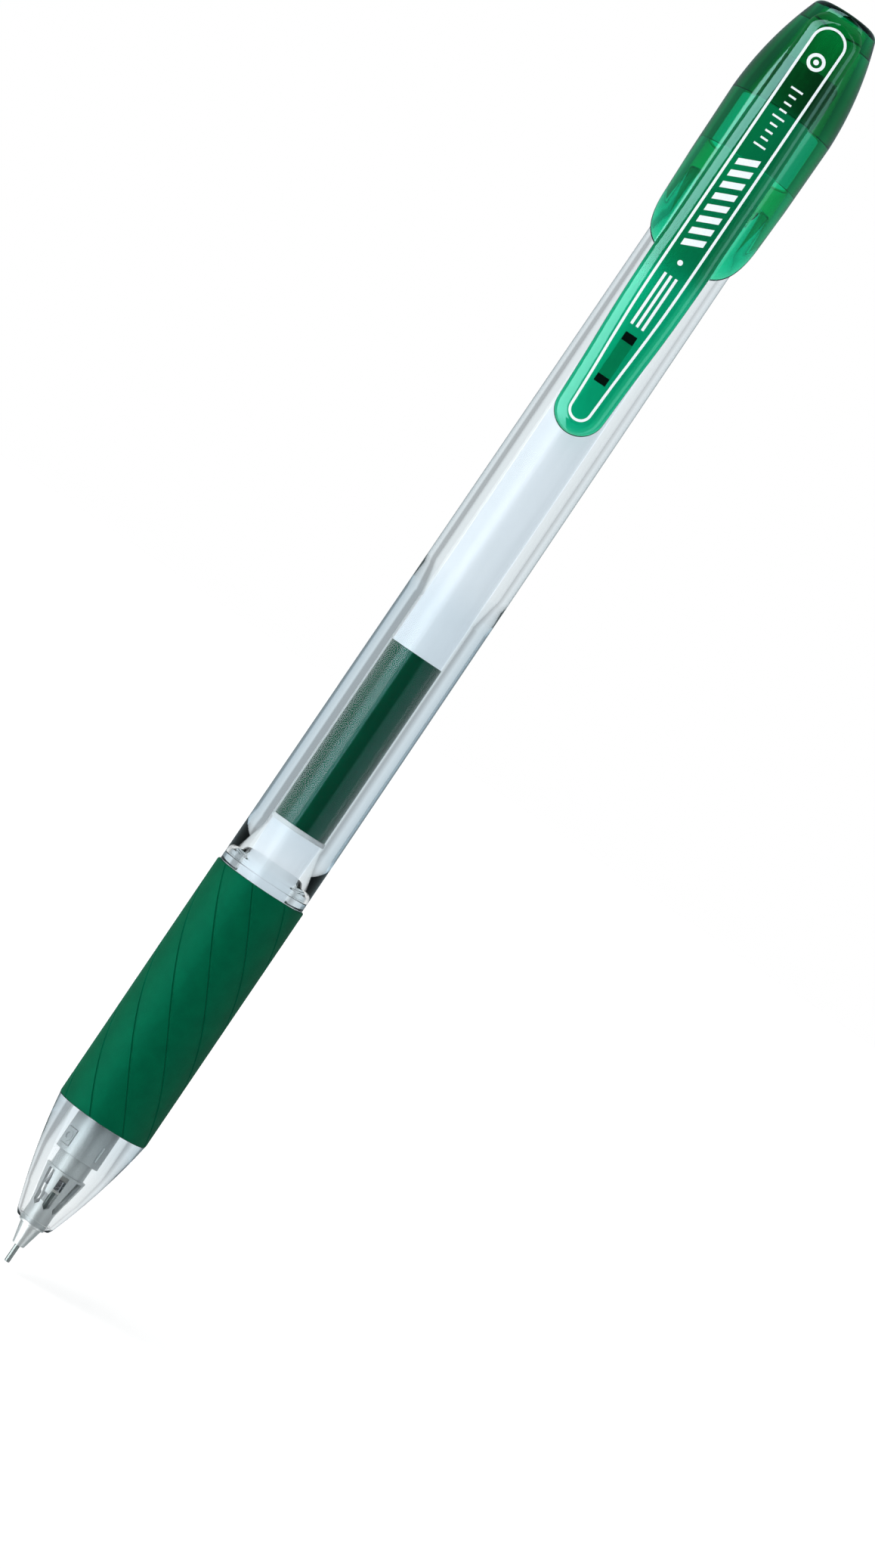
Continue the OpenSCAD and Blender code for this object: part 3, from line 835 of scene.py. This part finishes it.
def clip_solid():
    """Clip's arm and face: flat front with a shallow ridge, and a bevel all round."""
    points, normals = clip_outline()
    across = [k / 4 for k in range(-4, 5)]

    def ring(inset, depth):
        """The outline moved inwards, with each point at depth(x, z)."""
        right = []
        for (x, z), n in zip(points, normals):
            px, pz = x - n.x * inset, z - n.y * inset
            right.append((max(px, 0.0), depth(max(px, 0.0), pz), pz))
        left = [(-x, y, z) for x, y, z in reversed(right[1:-1])]
        return right + left

    def fall(inset):
        """How far the bevel has dropped at an inset, on slopes in degrees from the plateau to the edge."""
        steps, gentle, steep, edge = 8, 10, 39, 52
        start = max(inset, CHAMFER)
        width = (PLATEAU - start) / steps
        places = [start + (k + 0.5) * width for k in range(steps)]
        slopes = [steep - (steep - gentle) * (i - CHAMFER) / (PLATEAU - CHAMFER) for i in places]
        drop = sum(math.tan(math.radians(slope)) for slope in slopes) * width
        return drop + max(0.0, CHAMFER - inset) * math.tan(math.radians(edge))

    def bevel(inset, extra=0.0):
        """A ring on the bevel, set back further by extra."""
        return ring(inset, lambda x, z: front_y(z) + fall(inset) + extra)

    rings = [ring(0.1, back_y), ring(0.03, lambda x, z: back_y(x, z) - 0.03),
             ring(0.0, lambda x, z: back_y(x, z) - 0.1), bevel(0.0, 0.12), bevel(0.015, 0.03), bevel(0.05)]
    rings += [bevel(CHAMFER - 0.04), bevel(CHAMFER + 0.04)]
    rings += [bevel(CHAMFER + 0.04 + (PLATEAU - CHAMFER - 0.1) * k / 8) for k in range(1, 9)]
    rings += [ring(PLATEAU + 0.08, face_y)]
    bm = bmesh.new()
    made = skin(bm, rings)
    count = len(points)

    def fill(loop, depth):
        """Rungs across the face inside a ring, so that the face can curve."""
        rows = []
        for i in range(1, count - 1):
            right, left = loop[i], loop[-i]
            row = [left] + [bm.verts.new((right.co.x * f, depth(right.co.x * f, right.co.z), right.co.z))
                            for f in across[1:-1]] + [right]
            rows.append(row)
        for a, b in zip(rows, rows[1:]):
            for k in range(len(across) - 1):
                bm.faces.new([a[k], a[k + 1], b[k + 1], b[k]])
        for row, tip in ((rows[0], loop[0]), (rows[-1], loop[count - 1])):
            for k in range(len(across) - 1):
                bm.faces.new([tip, row[k + 1], row[k]])

    fill(made[0], back_y)
    fill(made[-1], face_y)
    return piece_from(bm, "clip_solid")


def clip_rib():
    """Rib on the back of the clip that presses on the barrel, with steep ends."""
    back, foot, low, high = CLIP_FRONT + ARM - 0.1, -4.72, CLIP_TIP + 5.6, CLIP_TIP + 11.4
    ramp, half = 0.97, 0.63
    return block("clip_rib", [(back, low), (foot, low + ramp), (foot, high - ramp), (back, high)],
                 -half, half, axis="X")


def crown_and_clip():
    """Crown and clip as the one moulding that they are."""
    clip = combine(clip_solid(), clip_rib(), "UNION")
    return reshade(combine(crown_shell(), clip, "UNION"))


# ---------------------------------------------------------------- print on the clip

def on_face(x, z):
    """A point on the print, a hair in front of the clip's face."""
    lift = 0.012
    return x, face_y(x, z) - lift, z


def patch(bm, a, b, c, d, across, along):
    """A printed patch between four corners (x, z), in across by along steps that follow the face."""
    def at(u, v):
        return on_face(*[(1 - v) * ((1 - u) * p + u * q) + v * ((1 - u) * s + u * r)
                         for p, q, r, s in zip(a, b, c, d)])

    grid = [[bm.verts.new(at(i / across, j / along)) for i in range(across + 1)] for j in range(along + 1)]
    for low, high in zip(grid, grid[1:]):
        for k in range(across):
            bm.faces.new([low[k], low[k + 1], high[k + 1], high[k]])


def line(bm, points, width):
    """A closed printed line along points (x, z)."""
    rings = [[], []]
    for i, (x, z) in enumerate(points):
        ahead = Vector(points[(i + 1) % len(points)]) - Vector(points[i - 1])
        side = Vector((ahead.y, -ahead.x)).normalized() * width / 2
        for ring, sign in zip(rings, (1, -1)):
            ring.append(on_face(x + sign * side.x, z + sign * side.y))
    skin(bm, rings)


def outline_points():
    """Middle of the printed border: rounded at both ends and narrower towards the clip's tip."""
    widths = [(CLIP_TIP + 2.6, 1.08), (103.6, 1.23), (107.5, 1.44), (111.5, 1.6), (CLIP_TIP + 18, 1.65),
              (CROWN_TOP - 4, 1.65)]
    (low, low_r), (high, high_r) = widths[0], widths[-1]
    round_steps, side_steps = 16, 90
    right = [(low_r * math.sin(a), low - low_r * math.cos(a)) for a in quarter(round_steps)[:-1]]
    right += [(smooth_through(z, widths), z)
              for z in (low + (high - low) * k / side_steps for k in range(side_steps))]
    right += [(high_r * math.cos(a), high + high_r * math.sin(a)) for a in quarter(round_steps)]
    return right + [(-x, z) for x, z in reversed(right[1:-1])]


def printing():
    """White border line, and plain bars, stripes, ticks, dots and a ring inside it."""
    bm = bmesh.new()
    line(bm, outline_points(), 0.26)
    bar_half, bar_low, bar_top = 0.14, 109.3, 115.2
    for x in (-0.62, 0, 0.62):
        patch(bm, *rectangle(x - bar_half, bar_low, x + bar_half, bar_top), 2, 12)
    stripes, stripe_low, stripe_pitch = 8, 118.2, 1.32
    for i in range(stripes):
        z = stripe_low + stripe_pitch * i
        patch(bm, (-1.0, z), (1.0, z + 0.9), (1.0, z + 1.6), (-1.0, z + 0.7), 10, 2)
    ticks, tick_low, tick_pitch, long_reach, short_reach = 9, 130.1, 0.8, 0.66, 0.4
    for i in range(ticks):
        z, reach = tick_low + tick_pitch * i, long_reach if i % 4 == 0 else short_reach
        patch(bm, *rectangle(-reach, z, reach, z + 0.2), 8, 1)
    for height, radius, width in ((139.9, 0.75, 0.34), (139.9, 0.14, 0.27), (116.7, 0.14, 0.27)):
        line(bm, [(radius * math.cos(a), height + radius * math.sin(a)) for a in around(36)], width)
    bmesh.ops.remove_doubles(bm, verts=bm.verts, dist=1e-4)
    bmesh.ops.recalc_face_normals(bm, faces=bm.faces)
    bmesh.ops.solidify(bm, geom=bm.faces[:], thickness=0.03)
    return piece_from(bm, "clip_print")


# ---------------------------------------------------------------- assembly

def dress(piece, finish, body, slot, *nodes):
    """Finishes a piece, lets it ride on a body, and hides the CAD nodes that it stands for."""
    finish.on(piece, slot)
    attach(piece, body)
    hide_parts(*nodes)
    return piece


dress(front_barrel(), CLEAR, "barrel", "clear_plastic", "front_barrel")
dress(rubber_grip(), RUBBER, "barrel", "grip_rubber", "grip")
dress(rear_barrel(), CLEAR, "barrel", "clear_plastic", "rear_barrel")
dress(silver_sleeve(), SILVER, "barrel", "silver_moulding", "tip_sleeve")
dress(chuck_holder(), WHITE, "plunger", "white_plastic", "chuck_holder")
dress(lead_tube(), FROSTED, "plunger", "frosted_plastic", "lead_tube")
dress(tube_collar(), WHITE, "plunger", "white_plastic", "tube_collar")
dress(colour_sleeve(), SLEEVE, "plunger", "dark_green_plastic", "colour_sleeve")
dress(working_lead(), GRAPHITE, "lead", "graphite", "lead")
dress(eraser_holder(), FROSTED, "plunger", "frosted_plastic", "eraser_holder")
dress(eraser(), VINYL, "eraser", "eraser_vinyl", "eraser")

spring = dress(coil_spring(), STEEL, "barrel", "spring_steel", "spring")
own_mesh(spring)

moulding = GREEN.on(crown_and_clip(), "translucent_green")
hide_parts("crown", "clip_arm")
ink = INK.on(printing())
for piece in (moulding, ink):
    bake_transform(piece)

for node, finish in (("lead_retainer", SEAL), ("chuck", RESIN), ("chuck_ring", STEEL),
                     ("spare_leads", GRAPHITE)):
    finish.on(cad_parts[node])


# ---------------------------------------------------------------- room, light and camera

def floor():
    """A pale floor just below the writing point, bright enough to run into the pale surroundings."""
    finish = Finish("pale_floor", Base_Color=(0.92, 0.92, 0.92, 1), Emission_Color=(1, 1, 1, 1),
                    Emission_Strength=0.45)
    finish.roughen(finish.noise(40), 0.7, 0.9)
    bm = bmesh.new()
    reach, below = 3000, 0.7
    bm.faces.new([bm.verts.new((x, y, -below)) for x, y in rectangle(-reach, -reach, reach, reach)])
    plane = piece_from(bm, "floor")
    finish.on(plane)
    plane.visible_glossy = plane.visible_transmission = False


# Brightness of the surroundings by the angle in degrees round the object, from behind its left side to
# behind its right, with 0 at the side that the clip faces. One ring is seen through the object and lights
# it, and the other is what its gloss mirrors.
SEEN_THROUGH = [(-180, 1.0), (-152, 1.0), (-142, 0.55), (-63, 0.5), (-58, 3.0), (-18, 3.0), (-14, 0.12),
                (30, 0.12), (36, 0.9), (84, 0.9), (92, 0.5), (125, 0.6), (150, 1.0), (180, 1.0)]
MIRRORED = [(-180, 0.3), (-100, 0.3), (-80, 0.3), (-77, 8.5), (-21, 8.5), (-17, 0.12), (30, 0.12),
            (36, 0.5), (53, 0.5), (56, 2.6), (74, 2.6), (78, 0.5), (95, 0.3), (180, 0.3)]
BRIGHTEST = 8.5
GAP_LEVEL = 0.4                      # surroundings darker than this are a gap between soft boxes
GAP_TINT = (0.75, 0.95, 1.0)         # colour of what the gloss mirrors between the soft boxes


def surroundings():
    """White to the camera, and to the object a ring of soft boxes and gaps."""
    world = bpy.data.worlds.new("surroundings")
    bpy.context.scene.world = world
    world.use_nodes = True
    nodes, links = world.node_tree.nodes, world.node_tree.links
    nodes.clear()

    def math_node(operation, first, second=None):
        node = nodes.new("ShaderNodeMath")
        node.operation = operation
        links.new(first, node.inputs[0])
        if second is not None:
            links.new(second, node.inputs[1])
        return node.outputs[0]

    def ranged(source, low, high, to_low=0.0, to_high=1.0):
        node = nodes.new("ShaderNodeMapRange")
        for socket, value in (("From Min", low), ("From Max", high), ("To Min", to_low), ("To Max", to_high)):
            node.inputs[socket].default_value = value
        links.new(source, node.inputs["Value"])
        return node.outputs["Result"]

    split = nodes.new("ShaderNodeSeparateXYZ")
    links.new(nodes.new("ShaderNodeTexCoord").outputs["Generated"], split.inputs[0])
    ahead = ranged(split.outputs["Y"], -1, 1, 1, -1)
    share = ranged(math_node("ARCTAN2", split.outputs["X"], ahead), -math.pi, math.pi)
    fade = ranged(math_node("ABSOLUTE", split.outputs["Z"]), 0.5, 0.85, BRIGHTEST, 0.5 * BRIGHTEST)

    def ring(levels, gap_tint=(1, 1, 1)):
        """Light whose brightness follows (angle, level) rows round the object."""
        ramp = nodes.new("ShaderNodeValToRGB")
        stops = ramp.color_ramp.elements
        while len(stops) < len(levels):
            stops.new(0.5)
        for stop, (angle, level) in zip(stops, levels):
            stop.position = (angle + 180) / 360
            stop.color = [level / BRIGHTEST * (tint if level < GAP_LEVEL else 1) for tint in gap_tint] + [1]
        links.new(share, ramp.inputs["Fac"])
        light = nodes.new("ShaderNodeBackground")
        links.new(ramp.outputs["Color"], light.inputs["Color"])
        links.new(fade, light.inputs["Strength"])
        return light.outputs[0]

    def choose(kind, otherwise, then):
        """One light for rays of a kind, and another for the rest."""
        mixer = nodes.new("ShaderNodeMixShader")
        links.new(nodes.new("ShaderNodeLightPath").outputs[kind], mixer.inputs["Fac"])
        links.new(otherwise, mixer.inputs[1])
        links.new(then, mixer.inputs[2])
        return mixer.outputs[0]

    white = nodes.new("ShaderNodeBackground")
    white.inputs["Color"].default_value = (1, 1, 1, 1)
    through = ring(SEEN_THROUGH)
    lit = choose("Is Transmission Ray", choose("Is Glossy Ray", through, ring(MIRRORED, GAP_TINT)), through)
    output = nodes.new("ShaderNodeOutputWorld")
    links.new(choose("Is Camera Ray", lit, white.outputs[0]), output.inputs["Surface"])


def camera():
    """A long lens, turned so that the holder leans from lower left to upper right."""
    lean = math.radians(34.12)
    swing = Matrix.Rotation(math.radians(1.4), 3, "Z")
    place = swing @ Vector((0, -0.5, 0.0757))
    target = swing @ Vector((0.0087, 0, 0.0622))
    forward = (target - place).normalized()
    up = swing @ Vector((-math.sin(lean), 0, math.cos(lean)))
    right = forward.cross(up).normalized()
    up = right.cross(forward)
    data = bpy.data.cameras.new("camera")
    data.lens = 118.03
    data.sensor_width = 36
    data.clip_start = 0.01
    seer = bpy.data.objects.new("camera", data)
    seer.matrix_world = Matrix.Translation(place) @ Matrix((right, up, -forward)).transposed().to_4x4()
    bpy.context.scene.collection.objects.link(seer)
    bpy.context.scene.camera = seer


floor()
surroundings()
camera()
bpy.context.scene.view_settings.view_transform = "Standard"
